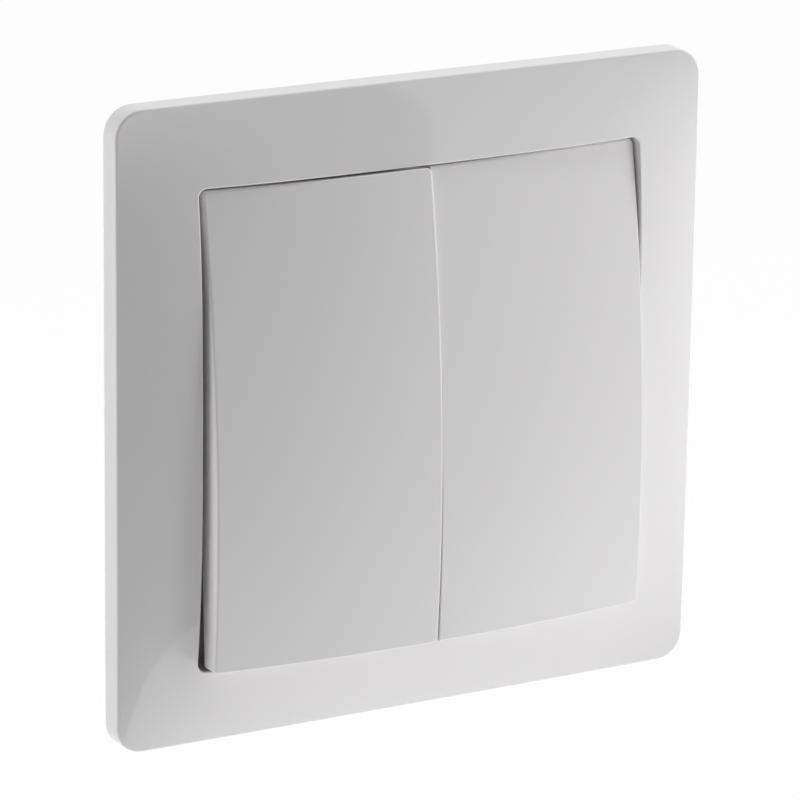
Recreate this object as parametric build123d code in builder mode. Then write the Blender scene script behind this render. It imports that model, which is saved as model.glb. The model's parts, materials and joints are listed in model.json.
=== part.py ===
"""Flush double rocker light switch.

The wall is the plane y = 0. The front faces -Y, +X is to the right and +Z is up.
Heights are counted forwards from the wall, so a height h lies at y = -h.
Both rockers stand pressed in at the top, which closes their contacts.
"""

from build123d import *
from math import cos, radians, sin
import os

# Cover frame
frame_side = 82.0
frame_corner = 5.5
frame_edge = 3.1
frame_draft = 2.0
frame_rise = 6.1
frame_fullness = 0.63
frame_wall = 1.8
frame_round = 0.35
window_side = 61.65
window_corner = 1.1
window_round = 0.2
collar_wall = 1.5
guide_rib_length = 11.4
guide_rib_depth = 0.2
guide_rib_drop = 0.7
guide_rib_height = 2.6
frame_play = 0.18

# Rockers
rocker_gap_side = 0.5
rocker_gap_end = 0.55
rocker_seam = 0.1
rocker_corner_height = 6.5
rocker_bulge_across = 2.2
rocker_bulge_along = 2.0
rocker_skirt_height = 3.8
rocker_wall = 1.4
rocker_face = 1.6
rocker_corner = 0.7
rocker_seam_corner = 0.7
rocker_round = 0.35
rocker_rib = 1.4
rocker_tilt = 4.0

# Pivots and cradles
pivot_height = 4.4
unit_offset = 12.0
trunnion_radius = 1.4
trunnion_length = 1.8
trunnion_boss = 2.1
cradle_width = 18.8
cradle_length = 22.0
cradle_seat = 2.8
cradle_plate = 1.6
cradle_cheek = 1.6
cradle_web = 1.4
tube_radius = 3.0
tube_reach = 9.0
tube_roof = 0.4

# Snap legs under each rocker
leg_width = 5.0
leg_thickness = 1.2
leg_spacing = 16.0
leg_barb = 0.5
leg_barb_height = 0.7

# Plunger and spring in each cradle
plunger_radius = 1.85
plunger_reach = 16.0
plunger_top = 4.0
plunger_stroke = 0.4
plunger_fullness = 0.98
spring_wire = 0.5
spring_turns = 5

# Seesaw contacts
seesaw_tilt = 5.0
seesaw_width = 6.0
seesaw_reach = 11.8
seesaw_thickness = 1.0
seesaw_saddle = 1.5
seesaw_trough = 0.3
seesaw_hub = 2.2
fulcrum_radius = 0.8
tip_reach = 10.3
tip_radius = 1.5
tip_thickness = 0.6

# Support strap
strap_side = 70.0
strap_corner = 4.0
strap_thickness = 1.0
slot_spacing = 60.0
slot_length = 7.0
slot_width = 4.2
plug_spacing = 50.0
plug_hole = 3.8
strap_lap = 1.8
bead_length = 30.0
bead_width = 2.4
bead_groove = 1.4
bead_height = 0.4
level_notch = 1.2

# Mechanism box and its cover
base_width = 50.0
base_height = 38.0
base_depth = 24.0
base_wall = 1.6
base_corner = 2.4
base_edge = 0.8
base_flange = 1.0
base_flange_depth = 2.0
post_radius = 2.4
rivet_radius = 1.1
rivet_head_radius = 1.9
rivet_head = 0.6
stop_radius = 2.0
cover_thickness = 1.0
cover_lap = 0.6
bearing_wall = 2.0
bearing_length = 6.8
bearing_top = 2.0
snap_mouth = 2.3
tongue_length = 9.6
tongue_thickness = 1.1
tongue_height = 1.0
tooth_reach = 0.5

# Terminals
terminal_width = 6.0
terminal_length = 8.4
terminal_height = 6.2
bus_thickness = 1.2
bus_width = 4.0
wire_bore = 1.7
wire_depth = 5.0
wire_inset = 3.6
wire_entry = 2.2
wire_funnel = 0.7
wire_funnel_slope = 45.0
screw_radius = 1.5
screw_head_radius = 2.4
screw_head = 1.6
screw_slot = 0.6
screw_level = 2.9

# Clearances
running = 0.08
loose = 0.2
contact = 0.05

front = Plane.XZ
sides = {"left": -1, "right": 1}

# Sizes that follow from the ones above
window_half = window_side / 2
frame_half = frame_side / 2
frame_top = frame_edge + frame_rise
rocker_outer = window_half - rocker_gap_side
rocker_half_height = window_half - rocker_gap_end
rocker_inner = rocker_seam / 2
rocker_width = rocker_outer - rocker_inner
rocker_middle = (rocker_outer + rocker_inner) / 2
rocker_depth = rocker_corner_height + rocker_bulge_across + rocker_bulge_along - rocker_skirt_height
skirt_level = rocker_skirt_height - pivot_height
plate_level = cradle_seat - cradle_plate
clip_bore = plunger_radius + running
bearing_bore = trunnion_radius + running
cover_top = strap_thickness + cover_thickness
floor_level = base_wall - base_depth
bead_place = (base_height / 2 + cover_lap + slot_spacing / 2 - slot_length / 2) / 2
strap_window_width = base_width - 2 * strap_lap
strap_window_height = base_height - 2 * strap_lap
inner_width = base_width - 2 * base_wall
inner_height = base_height - 2 * base_wall
rivet_spacing_x = strap_window_width - 2 * (post_radius + 2 * loose)
rivet_spacing_z = strap_window_height - 2 * (post_radius + 2 * loose)
terminal_end = inner_height / 2 - loose
wire_place = terminal_end - wire_inset
terminals = ((-unit_offset, -1), (unit_offset, -1), (0, 1))
wire_entries = [(x, end * wire_place) for x, end in terminals]
seesaw_axis = pivot_height - plunger_reach - contact - seesaw_saddle
seesaw_top = seesaw_saddle + seesaw_trough
seesaw_under = seesaw_top - seesaw_thickness
pad_level = seesaw_under - 2 * tip_thickness - contact

# The frame hangs to the left by its play on the mechanism
frame_front = Plane((-frame_play, 0, 0), x_dir=(1, 0, 0), z_dir=front.z_dir)

# The rockers and cradles lean with their tops in, the seesaws with their bottoms in
lean = radians(rocker_tilt)
rocker_plane = Plane((0, -pivot_height, 0), x_dir=(1, 0, 0), z_dir=(0, -cos(lean), sin(lean)))
tip_lean = radians(seesaw_tilt)
seesaw_plane = Plane((0, -seesaw_axis, 0), x_dir=(1, 0, 0), z_dir=(0, -cos(tip_lean), -sin(tip_lean)))


def across(plane, x):
    """Plane square to X at x, with the given plane's up as its x and its forward as its y."""
    return Plane(plane.from_local_coords((x, 0, 0)), x_dir=plane.y_dir, z_dir=(1, 0, 0))


def pillow(x):
    """Share of the frame's full rise at a distance x from its middle line."""
    u = (x / frame_half) ** 2
    return (1 - u) * (1 + frame_fullness * u)


def pillow_ordinates(reach):
    """Control values of the pillow curve as one quartic span from -reach to reach."""
    u = (reach / frame_half) ** 2
    square = (frame_fullness - 1) * u
    fourth = -frame_fullness * u**2
    return [1 + square * s + fourth * f for s, f in ((1, 1), (0, -1), (-1 / 3, 1), (0, -1), (1, 1))]


def crown_ordinates(reach, half):
    """Control values of a parabola, 1 in the middle and 0 at half, as one span from -reach to reach."""
    u = (reach / half) ** 2
    return [1 - u, 1 + u, 1 - u]


def smooth_face(plane, reach, heights):
    """Face over a square of a plane, from the heights of its control points."""
    last = len(heights) - 1
    steps = [reach * (2 * i / last - 1) for i in range(last + 1)]
    net = [
        [plane.from_local_coords((x, z, height)) for z, height in zip(steps, row)]
        for x, row in zip(steps, heights)
    ]
    return Face.make_bezier_surface(net)


def frame_surface(depth):
    """Pillow face of the frame, set back by a depth."""
    curve = pillow_ordinates(frame_half + frame_wall)
    heights = [[frame_edge - depth + frame_rise * a * b for b in curve] for a in curve]
    return smooth_face(frame_front, frame_half + frame_wall, heights)


def rocker_surface(depth):
    """Crowned face that both rockers share, set back by a depth."""
    reach = window_half + rocker_wall
    foot = rocker_corner_height - pivot_height - depth
    over = crown_ordinates(reach, rocker_outer)
    along = crown_ordinates(reach, rocker_half_height)
    heights = [[foot + rocker_bulge_across * a + rocker_bulge_along * b for b in along] for a in over]
    return smooth_face(rocker_plane, reach, heights)


# Cover frame: a drafted block under the pillow face, hollow behind, with a collar round the window
with BuildPart() as frame_hollow:
    with BuildSketch(frame_front):
        RectangleRounded(frame_side - 2 * frame_wall, frame_side - 2 * frame_wall, frame_corner - frame_wall)
        RectangleRounded(
            window_side + 2 * collar_wall,
            window_side + 2 * collar_wall,
            window_corner + collar_wall,
            mode=Mode.SUBTRACT,
        )
    extrude(amount=frame_top)
    extrude(frame_surface(frame_wall), amount=frame_top, dir=frame_front.z_dir, mode=Mode.SUBTRACT)

with BuildPart() as cover_frame:
    with BuildSketch(frame_front):
        RectangleRounded(frame_side, frame_side, frame_corner)
    extrude(amount=frame_top, taper=frame_draft)
    extrude(frame_surface(0), amount=frame_top, dir=frame_front.z_dir, mode=Mode.SUBTRACT)
    fillet(faces().sort_by(Axis.Y)[0].edges(), frame_round)
    add(frame_hollow.part, mode=Mode.SUBTRACT)
    with BuildSketch(frame_front):
        RectangleRounded(window_side, window_side, window_corner)
    extrude(amount=frame_top, mode=Mode.SUBTRACT)
    pillow_face = faces().filter_by(GeomType.BEZIER).sort_by(Axis.Y)[0]
    fillet(pillow_face.inner_wires()[0].edges(), window_round)
    with BuildSketch(frame_front):
        RectangleRounded(
            window_side + 3 * collar_wall, window_side + 3 * collar_wall, window_corner + 2 * collar_wall
        )
    extrude(amount=strap_thickness, mode=Mode.SUBTRACT)
    rib_top = frame_edge + frame_rise * pillow(window_half) - guide_rib_drop
    with BuildSketch(frame_front.offset(rib_top - guide_rib_height)):
        for side in sides.values():
            with Locations((side * (window_half + (collar_wall / 2 - guide_rib_depth) / 2), 0)):
                Rectangle(guide_rib_depth + collar_wall / 2, guide_rib_length)
    extrude(amount=guide_rib_height)
    with BuildSketch(frame_front.offset(cover_top)):
        for side in sides.values():
            with Locations((side * window_half, 0)):
                Rectangle(2 * (tooth_reach + loose + frame_play), tongue_length + 2 * loose)
    extrude(amount=tongue_height + loose, mode=Mode.SUBTRACT)


# Support strap: punched plate on the wall, stiffened by a pressed bead above and below the box
with BuildPart() as support_strap:
    with BuildSketch(front):
        RectangleRounded(strap_side, strap_side, strap_corner)
        RectangleRounded(strap_window_width, strap_window_height, base_corner / 2, mode=Mode.SUBTRACT)
        with GridLocations(slot_spacing, slot_spacing, 1, 2):
            SlotOverall(slot_length, slot_width, rotation=90, mode=Mode.SUBTRACT)
        with GridLocations(plug_spacing, plug_spacing, 2, 2):
            Circle(plug_hole / 2, mode=Mode.SUBTRACT)
        with GridLocations(strap_side, strap_side, 2, 1):
            Circle(level_notch, mode=Mode.SUBTRACT)
    extrude(amount=strap_thickness)
    with BuildSketch(front):
        with GridLocations(1, 2 * bead_place, 1, 2):
            SlotOverall(bead_length, bead_width)
    extrude(amount=strap_thickness + bead_height)
    with BuildSketch(front):
        with GridLocations(1, 2 * bead_place, 1, 2):
            SlotOverall(bead_length + bead_groove - bead_width, bead_groove)
    extrude(amount=bead_height, mode=Mode.SUBTRACT)


# Mechanism base: flanged open box behind the strap with rivet posts, stops and terminal openings
with BuildPart() as mechanism_base:
    with BuildSketch(front.offset(-base_depth)):
        RectangleRounded(base_width, base_height, base_corner)
    extrude(amount=base_depth)
    fillet(faces().sort_by(Axis.Y)[-1].edges(), base_edge)
    with BuildSketch(front):
        RectangleRounded(
            base_width + 2 * base_flange, base_height + 2 * base_flange, base_corner + base_flange
        )
    extrude(amount=-base_flange_depth)
    with BuildSketch(front.offset(floor_level)):
        RectangleRounded(inner_width, inner_height, base_corner - base_wall)
    extrude(amount=-floor_level, mode=Mode.SUBTRACT)
    with BuildSketch(front.offset(-base_depth)):
        with GridLocations(rivet_spacing_x, rivet_spacing_z, 2, 2):
            Circle(post_radius)
    extrude(amount=base_depth)
    stop_fall = seesaw_axis + seesaw_under * cos(tip_lean) - tip_reach * sin(tip_lean)
    with BuildSketch(front.offset(floor_level)):
        with Locations((-unit_offset, tip_reach), (unit_offset, tip_reach)):
            Circle(stop_radius)
    extrude(amount=stop_fall - loose - floor_level)
    with BuildSketch(front.offset(-base_depth)):
        with GridLocations(rivet_spacing_x, rivet_spacing_z, 2, 2):
            Circle(rivet_radius + running)
        with Locations(wire_entries):
            Circle(wire_entry)
    extrude(amount=base_depth, mode=Mode.SUBTRACT)
    with BuildSketch(front.offset(-base_depth)):
        with Locations(wire_entries):
            Circle(wire_entry + wire_funnel)
    extrude(amount=wire_funnel, taper=wire_funnel_slope, mode=Mode.SUBTRACT)
    with BuildSketch(front.offset(-base_depth)):
        with GridLocations(rivet_spacing_x, rivet_spacing_z, 2, 2):
            Circle(rivet_head_radius + loose)
    extrude(amount=rivet_head + running, mode=Mode.SUBTRACT)
    for x, end in terminals:
        wall_plane = Plane((x, -floor_level - screw_level, end * base_height / 2), z_dir=(0, 0, -end))
        with BuildSketch(wall_plane):
            Circle(screw_head_radius + loose)
        extrude(amount=base_wall, mode=Mode.SUBTRACT)


# Mechanism cover: front plate with the bearings of the cradles and the tongues that hold the frame
with BuildPart() as mechanism_cover:
    with BuildSketch(front.offset(strap_thickness)):
        RectangleRounded(base_width + 2 * cover_lap, base_height + 2 * cover_lap, base_corner)
        Rectangle(2 * rocker_outer, tongue_length)
    extrude(amount=cover_thickness)
    with BuildSketch(front):
        RectangleRounded(
            strap_window_width - 2 * loose, strap_window_height - 2 * loose, base_corner / 2
        )
        RectangleRounded(
            strap_window_width - 2 * (loose + base_wall),
            strap_window_height - 2 * (loose + base_wall),
            base_corner / 2,
            mode=Mode.SUBTRACT,
        )
        with GridLocations(rivet_spacing_x, rivet_spacing_z, 2, 2):
            Circle(post_radius)
    extrude(amount=strap_thickness)
    outer_bearing = unit_offset + cradle_width / 2 + loose + bearing_wall / 2
    inner_bearing = 2 * (unit_offset - cradle_width / 2 - loose)
    with BuildSketch(front.offset(cover_top)):
        Rectangle(inner_bearing, bearing_length)
        with Locations((-outer_bearing, 0), (outer_bearing, 0)):
            Rectangle(bearing_wall, bearing_length)
    extrude(amount=pivot_height + bearing_top - cover_top)
    crest = edges().filter_by(Axis.X).group_by(Axis.Y)[0]
    fillet(crest, bearing_top / 2)
    with BuildSketch(across(Plane((0, -pivot_height, 0), x_dir=(1, 0, 0), z_dir=(0, -1, 0)), 0)):
        Circle(bearing_bore)
        with Locations((0, bearing_top / 2)):
            Rectangle(snap_mouth, bearing_top)
    extrude(amount=window_half, both=True, mode=Mode.SUBTRACT)
    with BuildSketch(front):
        with Locations((-unit_offset, 0), (unit_offset, 0)):
            Rectangle(2 * (tube_radius + 2 * loose), 2 * (tube_radius + 6 * loose))
        with GridLocations(rivet_spacing_x, rivet_spacing_z, 2, 2):
            Circle(rivet_radius + running)
    extrude(amount=cover_top, mode=Mode.SUBTRACT)
    for side in sides.values():
        tongue_face = side * rocker_outer
        with BuildSketch(front.offset(cover_top)):
            with Locations((tongue_face - side * tongue_thickness / 2, 0)):
                Rectangle(tongue_thickness, tongue_length)
        extrude(amount=tongue_height)
        with BuildSketch(front.offset(cover_top + tongue_height / 2)):
            with Locations((tongue_face + side * (rocker_gap_side + tooth_reach) / 2, 0)):
                Rectangle(rocker_gap_side + tooth_reach, tongue_length)
        extrude(amount=tongue_height / 2)


def make_rocker(side):
    """Crowned cap with a skirt all round, ribs that sit on its cradle and two snap legs."""
    middle = side * unit_offset
    with BuildPart() as hollow:
        with BuildSketch(rocker_plane.offset(skirt_level)):
            with Locations((side * rocker_middle, 0)):
                Rectangle(rocker_width - 2 * rocker_wall, 2 * (rocker_half_height - rocker_wall))
        extrude(amount=rocker_depth)
        extrude(rocker_surface(rocker_face), amount=rocker_depth, dir=rocker_plane.z_dir, mode=Mode.SUBTRACT)
        with BuildSketch(rocker_plane.offset(cradle_seat)):
            with Locations((middle, 0)):
                with GridLocations(cradle_width - 3 * rocker_rib, 1, 2, 1):
                    Rectangle(rocker_rib, cradle_length)
                with GridLocations(1, leg_spacing, 1, 2):
                    Rectangle(cradle_width - 2 * rocker_rib, rocker_rib)
        extrude(amount=rocker_depth, mode=Mode.SUBTRACT)
    with BuildPart() as rocker:
        with BuildSketch(rocker_plane.offset(skirt_level)):
            with Locations((side * rocker_middle, 0)):
                Rectangle(rocker_width, 2 * rocker_half_height)
            fillet(vertices().sort_by_distance((0, 0, 0))[-2:], rocker_corner)
            fillet(vertices().sort_by_distance((0, 0, 0))[:2], rocker_seam_corner)
        extrude(amount=rocker_depth)
        extrude(rocker_surface(0), amount=rocker_depth, dir=rocker_plane.z_dir, mode=Mode.SUBTRACT)
        fillet(faces().sort_by(Axis.Y)[0].edges(), rocker_round)
        add(hollow.part, mode=Mode.SUBTRACT)
        with BuildSketch(rocker_plane.offset(skirt_level)):
            with Locations((side * rocker_inner, 0)):
                Rectangle(4 * rocker_wall, bearing_length + 2 * rocker_wall)
        extrude(amount=bearing_top + 2 * loose - skirt_level, mode=Mode.SUBTRACT)
        with BuildSketch(rocker_plane.offset(skirt_level)):
            with Locations((0, slot_spacing / 2), (0, -slot_spacing / 2)):
                Rectangle(2 * slot_width, 2 * slot_width)
        extrude(amount=bearing_top - skirt_level, mode=Mode.SUBTRACT)
        barb_level = plate_level - leg_barb_height - running
        with BuildSketch(rocker_plane.offset(barb_level)):
            with Locations((middle, leg_spacing / 2), (middle, -leg_spacing / 2)):
                Rectangle(leg_width, leg_thickness)
        extrude(amount=cradle_seat - barb_level + rocker_rib / 2)
        with BuildSketch(rocker_plane.offset(barb_level)):
            for end in (-1, 1):
                with Locations((middle, end * (leg_spacing / 2 + leg_barb / 2))):
                    Rectangle(leg_width, leg_thickness + leg_barb)
        extrude(amount=leg_barb_height)
    return rocker.part


def make_cradle(side):
    """Carrier of one rocker: plate, cheeks with trunnions and the tube that guides the plunger."""
    middle = side * unit_offset
    with BuildPart() as cradle:
        with BuildSketch(rocker_plane.offset(plate_level)):
            with Locations((middle, 0)):
                RectangleRounded(cradle_width, cradle_length, rocker_corner)
                with GridLocations(1, leg_spacing, 1, 2):
                    Rectangle(leg_width + 2 * loose, leg_thickness + 2 * loose, mode=Mode.SUBTRACT)
        extrude(amount=cradle_plate)
        with BuildSketch(rocker_plane.offset(-tube_reach)):
            with Locations((middle, 0)):
                Circle(tube_radius)
        extrude(amount=tube_reach + plate_level)
        with BuildSketch(rocker_plane.offset(-trunnion_radius)):
            with Locations((middle, 0)):
                Rectangle(cradle_width, cradle_web)
        extrude(amount=trunnion_radius + plate_level)
        for hand in (-1, 1):
            cheek_face = middle + hand * (cradle_width / 2 - cradle_cheek)
            with BuildSketch(across(rocker_plane, cheek_face)):
                Circle(trunnion_boss)
                with Locations((0, plate_level / 2)):
                    Rectangle(2 * trunnion_boss, plate_level)
            extrude(amount=hand * cradle_cheek)
            with BuildSketch(across(rocker_plane, cheek_face)):
                Circle(trunnion_radius)
            extrude(amount=hand * (cradle_cheek + loose + trunnion_length))
        with BuildSketch(rocker_plane.offset(-tube_reach)):
            with Locations((middle, 0)):
                Circle(clip_bore)
        extrude(amount=tube_reach + cradle_seat - tube_roof - cradle_plate / 2, mode=Mode.SUBTRACT)
    return cradle.part


def make_plunger(side):
    """Round-nosed pin that slides in the cradle's tube."""
    with BuildPart() as plunger:
        with BuildSketch(rocker_plane.offset(-plunger_reach)):
            with Locations((side * unit_offset, 0)):
                Circle(plunger_radius)
        extrude(amount=plunger_reach - plunger_top)
        fillet(edges().group_by(Axis.Y)[-1], plunger_fullness * plunger_radius)
    return plunger.part


def make_spring(side):
    """Helical spring between the tube's blind end and the plunger, drawn as when the plunger is fully in."""
    coil_radius = plunger_radius - spring_wire
    low = plunger_stroke + running + spring_wire / 2 - plunger_top
    high = cradle_seat - tube_roof - cradle_plate / 2 - spring_wire / 2 - running
    start = rocker_plane.from_local_coords((side * unit_offset, 0, low))
    with BuildPart() as spring:
        with BuildLine() as path:
            Helix(
                pitch=(high - low) / spring_turns,
                height=high - low,
                radius=coil_radius,
                center=start,
                direction=rocker_plane.z_dir,
            )
        with BuildSketch(Plane(path.line @ 0, z_dir=path.line % 0)):
            Circle(spring_wire / 2)
        sweep(is_frenet=True)
    return spring.part


def trough_radius():
    """Radius that the seesaw's trough needs for the plunger's nose to follow it from end to end."""
    arm = plunger_reach - plunger_radius
    above = pivot_height - seesaw_axis
    end_out = -arm * sin(lean)
    end_up = above - arm * cos(lean)
    run = end_out * cos(tip_lean) + end_up * sin(tip_lean)
    rise = end_up * cos(tip_lean) - end_out * sin(tip_lean) - (above - arm)
    return (run**2 + rise**2) / (2 * rise) + plunger_radius + contact


def make_moving_contact(side):
    """Copper seesaw: two arms, a hub grooved for the fulcrum and a trough for the plunger."""
    with BuildPart() as seesaw:
        with BuildSketch(across(seesaw_plane, side * unit_offset)):
            with Locations((0, seesaw_top - seesaw_thickness / 2)):
                Rectangle(2 * seesaw_reach, seesaw_thickness)
            with Locations((0, seesaw_top / 2)):
                Rectangle(2 * seesaw_hub, seesaw_top)
            Circle(fulcrum_radius + contact, mode=Mode.SUBTRACT)
            with Locations((0, seesaw_saddle + trough_radius())):
                Circle(trough_radius(), mode=Mode.SUBTRACT)
        extrude(amount=seesaw_width / 2, both=True)
        fillet(edges().filter_by(lambda edge: edge.length < 1.01 * seesaw_thickness).filter_by(
            lambda edge: edge.center().Z**2 > (seesaw_reach / 2) ** 2), seesaw_width / 4)
    return seesaw.part


def make_tip(side, level):
    """Silver disc on the seesaw's closing end, or on the fixed contact below it."""
    with BuildPart() as tip:
        with BuildSketch(seesaw_plane.offset(level)):
            with Locations((side * unit_offset, -tip_reach)):
                Circle(tip_radius)
        extrude(amount=tip_thickness)
    return tip.part


def cut_terminal(x, end):
    """Wire bore from behind and screw hole from the end, cut in the terminal of the part being built."""
    with BuildSketch(front.offset(floor_level)) as wire:
        with Locations((x, end * wire_place)):
            Circle(wire_bore)
    extrude(wire.sketch, amount=wire_depth, mode=Mode.SUBTRACT)
    seat = Plane((x, -floor_level - screw_level, end * terminal_end), z_dir=(0, 0, -end))
    with BuildSketch(seat) as thread:
        Circle(screw_radius + contact)
    extrude(thread.sketch, amount=wire_inset, mode=Mode.SUBTRACT)


def make_load_contact(side):
    """Brass terminal block of one circuit, its top sloped to carry the fixed tip."""
    x = side * unit_offset
    with BuildPart() as load:
        with BuildSketch(front.offset(floor_level)):
            with Locations((x, terminal_length / 2 - terminal_end)):
                Rectangle(terminal_width, terminal_length)
        extrude(amount=-floor_level)
        split(bisect_by=seesaw_plane.offset(pad_level), keep=Keep.BOTTOM)
        cut_terminal(x, -1)
    return load.part


# Common contact: bar on the floor with a rounded fulcrum under each seesaw and the line terminal
with BuildPart() as common_contact:
    with BuildSketch(front.offset(floor_level)):
        Rectangle(2 * unit_offset + terminal_width, bus_width)
        with Locations((0, terminal_end / 2)):
            Rectangle(terminal_width, terminal_end)
    extrude(amount=bus_thickness)
    with BuildSketch(front.offset(floor_level)):
        with Locations((0, terminal_end - terminal_length / 2)):
            Rectangle(terminal_width, terminal_length)
    extrude(amount=terminal_height)
    for side in sides.values():
        upright = Plane((0, -seesaw_axis, 0), x_dir=(1, 0, 0), z_dir=(0, -1, 0))
        blade = seesaw_axis - floor_level
        with BuildSketch(across(upright, side * unit_offset)):
            Circle(fulcrum_radius)
            with Locations((0, -blade / 2)):
                Rectangle(2 * fulcrum_radius, blade)
        extrude(amount=seesaw_width / 2, both=True)
    cut_terminal(0, 1)


# Terminal screws: slotted heads that lie in the ends of the box
with BuildPart() as terminal_screws:
    for x, end in terminals:
        seat = Plane((x, -floor_level - screw_level, end * terminal_end), z_dir=(0, 0, end))
        with BuildSketch(seat):
            Circle(screw_head_radius)
        extrude(amount=screw_head)
        with BuildSketch(seat.offset(screw_head)):
            Rectangle(screw_slot, 3 * screw_head_radius)
        extrude(amount=-screw_head / 2, mode=Mode.SUBTRACT)
        with BuildSketch(seat):
            Circle(screw_radius)
        extrude(amount=wire_bore - wire_inset)


# Housing rivets: one through each post, headed on the cover and at the back of the box
with BuildPart() as housing_rivets:
    with BuildSketch(front.offset(rivet_head - base_depth)):
        with GridLocations(rivet_spacing_x, rivet_spacing_z, 2, 2):
            Circle(rivet_radius)
    extrude(amount=base_depth - rivet_head + cover_top)
    for level in (running - base_depth, cover_top):
        with BuildSketch(front.offset(level)):
            with GridLocations(rivet_spacing_x, rivet_spacing_z, 2, 2):
                Circle(rivet_head_radius)
        extrude(amount=rivet_head)


pieces = {
    "cover_frame": cover_frame.part,
    "support_strap": support_strap.part,
    "mechanism_base": mechanism_base.part,
    "mechanism_cover": mechanism_cover.part,
    "common_contact": common_contact.part,
    "terminal_screws": terminal_screws.part,
    "housing_rivets": housing_rivets.part,
}
for hand, side in sides.items():
    pieces[f"{hand}_rocker"] = make_rocker(side)
    pieces[f"{hand}_cradle"] = make_cradle(side)
    pieces[f"{hand}_plunger"] = make_plunger(side)
    pieces[f"{hand}_plunger_spring"] = make_spring(side)
    pieces[f"{hand}_moving_contact"] = make_moving_contact(side)
    pieces[f"{hand}_moving_tip"] = make_tip(side, seesaw_under - tip_thickness)
    pieces[f"{hand}_fixed_tip"] = make_tip(side, pad_level)
    pieces[f"{hand}_load_contact"] = make_load_contact(side)

os.makedirs("parts", exist_ok=True)
for name, piece in pieces.items():
    piece.label = name
    export_step(piece, f"parts/{name}.step")
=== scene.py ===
"""Looks of a flush double rocker switch: moulded skins, finishes, studio light and camera.

The wall is the plane y = 0, the front faces -Y and +Z is up. A height is counted forwards from the
wall, so a height h lies at y = -h. All lengths are in metres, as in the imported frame.
"""

import json
import math
from typing import NamedTuple

import bmesh
import bpy
import numpy as np
from bpy.props import FloatProperty, FloatVectorProperty, PointerProperty
from mathutils import Matrix, Vector


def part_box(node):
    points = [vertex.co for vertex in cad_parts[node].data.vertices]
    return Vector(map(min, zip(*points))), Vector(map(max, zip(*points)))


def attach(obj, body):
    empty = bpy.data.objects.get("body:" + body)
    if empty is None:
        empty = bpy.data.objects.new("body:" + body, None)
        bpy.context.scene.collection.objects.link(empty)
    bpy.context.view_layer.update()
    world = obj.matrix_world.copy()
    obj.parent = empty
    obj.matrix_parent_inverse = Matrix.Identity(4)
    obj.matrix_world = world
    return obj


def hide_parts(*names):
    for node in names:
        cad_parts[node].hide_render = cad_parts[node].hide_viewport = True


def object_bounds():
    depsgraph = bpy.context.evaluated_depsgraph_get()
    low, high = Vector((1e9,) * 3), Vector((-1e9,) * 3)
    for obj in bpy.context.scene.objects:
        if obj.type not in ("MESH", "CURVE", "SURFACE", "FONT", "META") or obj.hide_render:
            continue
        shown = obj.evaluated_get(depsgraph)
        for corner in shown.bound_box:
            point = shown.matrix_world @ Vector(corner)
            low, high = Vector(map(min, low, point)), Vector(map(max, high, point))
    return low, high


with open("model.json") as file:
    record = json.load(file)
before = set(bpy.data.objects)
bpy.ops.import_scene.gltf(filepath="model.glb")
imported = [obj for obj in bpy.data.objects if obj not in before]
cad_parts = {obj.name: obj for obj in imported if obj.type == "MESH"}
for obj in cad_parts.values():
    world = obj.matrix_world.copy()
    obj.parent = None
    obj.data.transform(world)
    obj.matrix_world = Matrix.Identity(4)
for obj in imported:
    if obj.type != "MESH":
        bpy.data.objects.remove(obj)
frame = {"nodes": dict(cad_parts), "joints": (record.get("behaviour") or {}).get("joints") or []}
cad_low, cad_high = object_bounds()

bl_info = {
    "name": "Double rocker switch",
    "version": (1, 0, 0),
    "blender": (4, 5, 0),
    "location": "View3D > Sidebar > Switch",
    "description": "Builds the moulded skins, finishes and stage of a flush double rocker switch",
    "category": "Object",
}

MM = 0.001
WHITE = (1.0, 1.0, 1.0, 1.0)

# Steps along each corner and each side of an outline, round an edge, over a face and under it
CORNER_STEPS = 12
SIDE_STEPS = 88
ROUND_STEPS = 7
FACE_STEPS = 40
UNDER_STEPS = 8
# Share of a run at which a ring close to its end keeps the shading crisp there
HOLD = 0.004
# Share of a round's radius, to each side, over which the slope of the face beside it is taken
SLOPE_REACH = 0.25
# How far a cut runs out past the edge that it opens
OVERCUT = 1.0 * MM
# Distance under which points are one point
WELD = 1e-8
# Bend between two faces from which their edge is drawn sharp
SHARP_ANGLE = math.radians(35)

# Sockets of the mix node that hold colours, which share their names with its other sockets
MIX_FACTOR, MIX_FIRST, MIX_SECOND, MIX_RESULT = 0, 6, 7, 2
# Values between which most of a noise pattern lies
NOISE_LOW, NOISE_HIGH = 0.3, 0.7
# Refractive indices of the plastics
ABS_IOR = POLYAMIDE_IOR = 1.53
ACETAL_IOR = 1.48


class Lamp(NamedTuple):
    """Softbox or panel: the point that it faces, where it stands from there, and its size.

    The turn goes from the front to the right. It and the rise are in degrees, all else is in metres.
    """

    name: str
    aim: tuple
    turn: float
    rise: float
    distance: float
    width: float
    height: float


LAMPS = (
    Lamp("key", aim=(0, 0, 0), turn=46.0, rise=20.0, distance=0.7, width=0.184, height=0.855),
    Lamp("side", aim=(0, 0, 0), turn=80.0, rise=43.5, distance=0.7, width=0.354, height=0.281),
    Lamp("top", aim=(0.35, 0, 0), turn=0.0, rise=90.0, distance=0.65, width=0.6, height=0.28),
    Lamp("low", aim=(0.3, -0.2, 0), turn=0.0, rise=-90.0, distance=0.195, width=0.28, height=0.24),
    Lamp("floor", aim=(0.15, -0.325, 0), turn=0.0, rise=-90.0, distance=0.198, width=0.58, height=0.49),
    Lamp("left", aim=(0, 0, 0), turn=-109.5, rise=14.0, distance=0.7, width=0.154, height=0.635),
    Lamp("rear", aim=(0, 0, 0), turn=180.0, rise=20.0, distance=0.692, width=0.9, height=0.5),
)

frame_low, frame_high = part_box("cover_frame")
rocker_low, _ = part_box("left_rocker")
rock = next(joint for joint in frame["joints"] if joint["name"] == "left_rock")


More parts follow.
